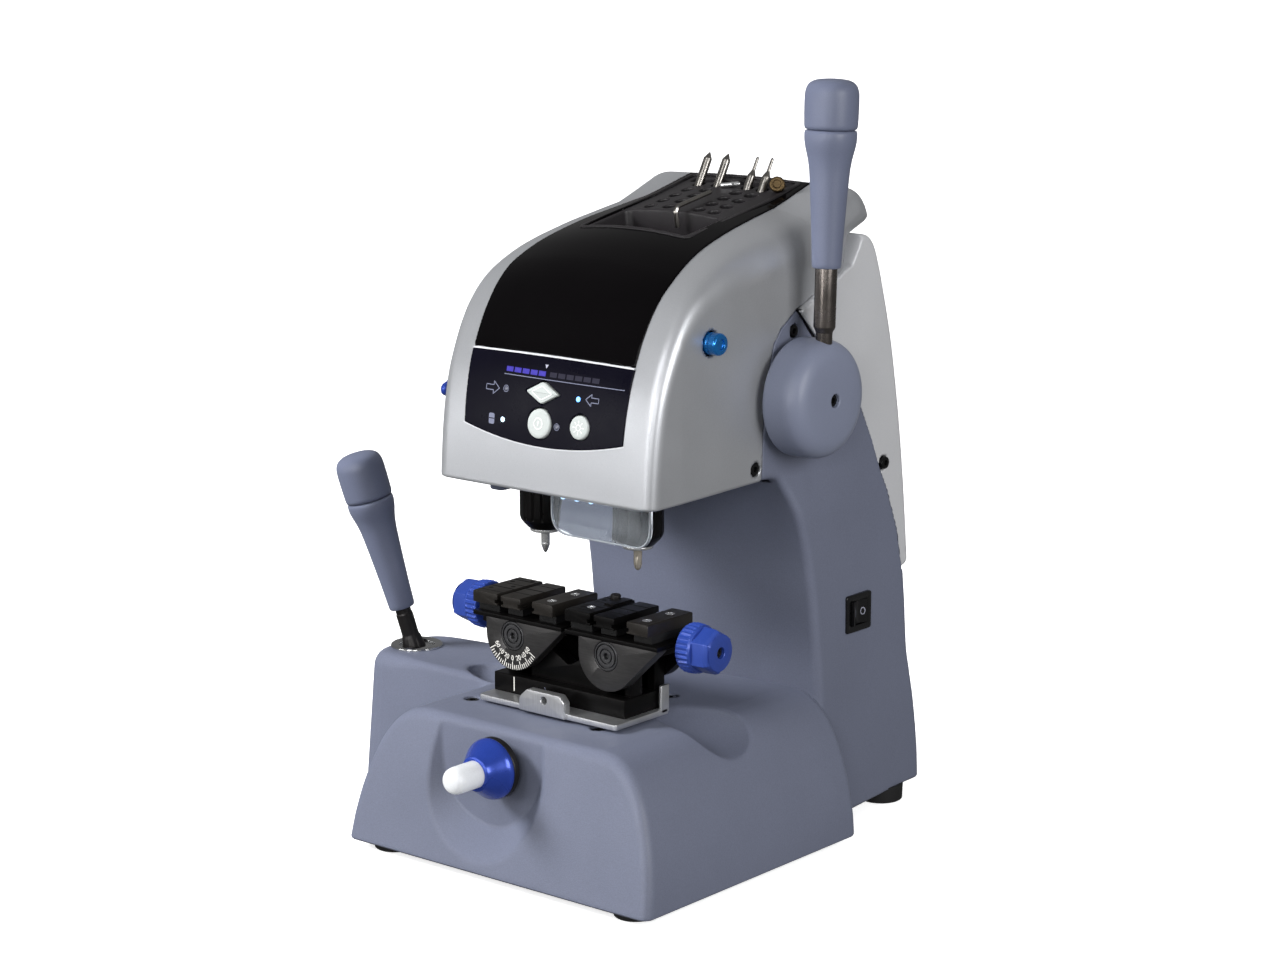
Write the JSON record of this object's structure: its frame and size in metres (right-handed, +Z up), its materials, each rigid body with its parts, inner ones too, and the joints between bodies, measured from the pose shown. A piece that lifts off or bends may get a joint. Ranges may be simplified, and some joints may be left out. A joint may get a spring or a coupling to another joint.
{
  "type": "key duplicating machine",
  "caption": "Bench key duplicating machine: vertical cutter and tracer on a lever-fed head over two tilting clamps on a stick-driven cross slide.",
  "frame": {"origin": "point on the table in the middle of the four rubber feet", "axes": "+Z up, the operator stands at -Y, +X to the operator's right; the feed lever is on +X and the control stick on -X"},
  "size_m": [0.3828, 0.3882, 0.5287],
  "materials": {
    "housing_grey": "fine texture paint",
    "cover_silver": "satin silver",
    "rear_grey": "light grey satin",
    "gloss_black": "gloss",
    "panel_navy": "satin film",
    "key_grey": "satin",
    "lens": "clear lens",
    "tray_black": "moulded",
    "tool_steel": "ground",
    "dark_plate": "satin",
    "shield_clear": "polished acrylic",
    "black_oxide": "black oxide satin",
    "casting": "machined",
    "motor_dark": "satin",
    "belt_rubber": "ribbed",
    "cutter_gold": "ground",
    "rubber": "matte",
    "chrome": "polished",
    "gunmetal": "turned",
    "plate_silver": "satin",
    "blue": "anodised",
    "tip_clear": "frosted",
    "switch_black": "satin",
    "screw_black": "black oxide"
  },
  "bodies": {
    "machine": {"base_housing": "housing_grey", "bottom_plate": "dark_plate", "rubber_feet": "rubber", "column_housing": "housing_grey", "rear_cover": "rear_grey", "head_cover": "cover_silver", "top_panel": "gloss_black", "control_panel": "panel_navy", "led_lenses": "lens", "tool_tray": "tray_black", "spare_tools": "tool_steel", "head_underplate": "dark_plate", "guide_rods": "tool_steel", "clear_shield": "shield_clear", "return_springs": "tool_steel", "stick_ring": "chrome", "base_rails": "tool_steel", "switch_bezel": "switch_black", "power_inlet": "switch_black", "cover_screws": "screw_black"},
    "carriage": {"spindle_carriage": "casting", "spindle_bearings": "tool_steel", "drive_motor": "motor_dark", "drive_belt": "belt_rubber", "feed_rack": "tool_steel"},
    "spindle": {"spindle_shaft": "tool_steel", "spindle_pulley": "casting", "cutter_collet": "black_oxide", "cutter": "cutter_gold"},
    "motor_rotor": {"motor_pulley": "casting"},
    "tracer": {"tracer_collet": "black_oxide", "tracer_point": "tool_steel"},
    "feed_lever": {"pinion_shaft": "tool_steel", "lever_hub": "housing_grey", "lever_rod": "gunmetal", "lever_grip": "housing_grey", "lever_cap": "housing_grey"},
    "gimbal": {"gimbal_ring": "black_oxide"},
    "stick": {"stick_rod": "gunmetal", "stick_grip": "housing_grey", "stick_cap": "housing_grey"},
    "saddle": {"cross_saddle": "casting"},
    "table": {"drive_block": "casting", "table_plate": "plate_silver", "carriage_block": "black_oxide", "clamp_pivots": "gunmetal"},
    "left_clamp": {"left_clamp_body": "black_oxide"},
    "left_jaw": {"left_clamp_jaw": "black_oxide"},
    "left_knob": {"left_clamp_knob": "blue"},
    "right_clamp": {"right_clamp_body": "black_oxide"},
    "right_jaw": {"right_clamp_jaw": "black_oxide"},
    "right_knob": {"right_clamp_knob": "blue"},
    "front_lock": {"front_knob": "blue", "front_knob_tip": "tip_clear"},
    "rocker": {"power_rocker": "switch_black"},
    "mode_button_key": {"mode_button": "key_grey"},
    "power_button_key": {"power_button": "key_grey"},
    "light_button_key": {"light_button": "key_grey"},
    "side_plunger": {"side_button": "blue"},
    "left_latch": {"left_lever": "blue"}
  },
  "joints": [
    {"name": "lever_swing", "type": "hinge", "parent": "machine", "child": "feed_lever", "pos_m": [0.104, 0.027, 0.316], "axis": [1, 0, 0], "range_deg": [0, 70]},
    {"name": "z_feed", "type": "slide", "parent": "machine", "child": "carriage", "axis": [0, 0, -1], "range_m": [0, 0.0241], "stiffness_N_per_m": 900, "springref_m": -0.06, "deforming": ["return_springs"]},
    {"name": "spindle_spin", "type": "hinge", "parent": "carriage", "child": "spindle", "pos_m": [0.0411, -0.0693, 0.3], "axis": [0, 0, 1], "continuous": true},
    {"name": "motor_spin", "type": "hinge", "parent": "carriage", "child": "motor_rotor", "pos_m": [-0.03, 0.045, 0.35], "axis": [0, 0, 1], "continuous": true},
    {"name": "tracer_float", "type": "slide", "parent": "carriage", "child": "tracer", "axis": [0, 0, 1], "range_m": [0, 0.003], "stiffness_N_per_m": 800, "springref_m": -0.004},
    {"name": "stick_fore_aft", "type": "hinge", "parent": "machine", "child": "gimbal", "pos_m": [-0.1965, -0.0364, 0.097], "axis": [1, 0, 0], "range_deg": [-12, 12]},
    {"name": "stick_side", "type": "hinge", "parent": "gimbal", "child": "stick", "pos_m": [-0.1965, -0.0364, 0.097], "axis": [0, 1, 0], "range_deg": [-9.5, 9.5]},
    {"name": "saddle_slide", "type": "slide", "parent": "machine", "child": "saddle", "axis": [0, 1, 0], "range_m": [-0.0152, 0.0152]},
    {"name": "table_slide", "type": "slide", "parent": "saddle", "child": "table", "axis": [1, 0, 0], "range_m": [-0.012, 0.012]},
    {"name": "left_clamp_tilt", "type": "hinge", "parent": "table", "child": "left_clamp", "pos_m": [-0.0416, -0.1034, 0.1516], "axis": [0, 1, 0], "range_deg": [-30, 30]},
    {"name": "right_clamp_tilt", "type": "hinge", "parent": "table", "child": "right_clamp", "pos_m": [0.0416, -0.1034, 0.1516], "axis": [0, 1, 0], "range_deg": [-30, 30]},
    {"name": "left_knob_turn", "type": "hinge", "parent": "left_clamp", "child": "left_knob", "pos_m": [-0.0416, -0.0755, 0.161], "axis": [1, 0, 0], "range_deg": [-217.5, 1891.5]},
    {"name": "left_jaw_slide", "type": "slide", "parent": "left_clamp", "child": "left_jaw", "axis": [1, 0, 0], "range_m": [-0.0012, 0.0105]},
    {"name": "right_knob_turn", "type": "hinge", "parent": "right_clamp", "child": "right_knob", "pos_m": [0.0416, -0.0755, 0.161], "axis": [1, 0, 0], "range_deg": [-217.5, 1891.5]},
    {"name": "right_jaw_slide", "type": "slide", "parent": "right_clamp", "child": "right_jaw", "axis": [1, 0, 0], "range_m": [-0.0012, 0.0105]},
    {"name": "front_knob_turn", "type": "hinge", "parent": "machine", "child": "front_lock", "pos_m": [-0.0045, -0.155, 0.08], "axis": [0, -1, 0], "range_deg": [0, 360]},
    {"name": "rocker_tilt", "type": "hinge", "parent": "machine", "child": "rocker", "pos_m": [0.1006, 0.099, 0.152], "axis": [0, 0, 1], "range_deg": [-12, 0]},
    {"name": "mode_press", "type": "slide", "parent": "machine", "child": "mode_button_key", "axis": [0, 0.9864, -0.1644], "range_m": [0, 0.0008], "stiffness_N_per_m": 600, "springref_m": -0.0005},
    {"name": "power_press", "type": "slide", "parent": "machine", "child": "power_button_key", "axis": [0, 0.9864, -0.1644], "range_m": [0, 0.0008], "stiffness_N_per_m": 600, "springref_m": -0.0005},
    {"name": "light_press", "type": "slide", "parent": "machine", "child": "light_button_key", "axis": [0, 0.9864, -0.1644], "range_m": [0, 0.0008], "stiffness_N_per_m": 600, "springref_m": -0.0005},
    {"name": "plunger_press", "type": "slide", "parent": "machine", "child": "side_plunger", "axis": [-1, 0, 0], "range_m": [0, 0.005], "stiffness_N_per_m": 400, "springref_m": -0.003},
    {"name": "latch_turn", "type": "hinge", "parent": "machine", "child": "left_latch", "pos_m": [-0.092, -0.098, 0.316], "axis": [1, 0, 0], "range_deg": [0, 60]}
  ],
  "couplings": [
    {"joint": "z_feed", "follows": "lever_swing", "m_per_rad": 0.0195},
    {"joint": "motor_spin", "follows": "spindle_spin", "ratio": 1.5},
    {"joint": "saddle_slide", "follows": "stick_fore_aft", "m_per_rad": 0.072},
    {"joint": "table_slide", "follows": "stick_side", "m_per_rad": -0.072},
    {"joint": "right_clamp_tilt", "follows": "left_clamp_tilt", "ratio": 1},
    {"joint": "left_knob_turn", "follows": "left_jaw_slide", "rad_per_m": 3141.6},
    {"joint": "right_knob_turn", "follows": "right_jaw_slide", "rad_per_m": 3141.6}
  ]
}
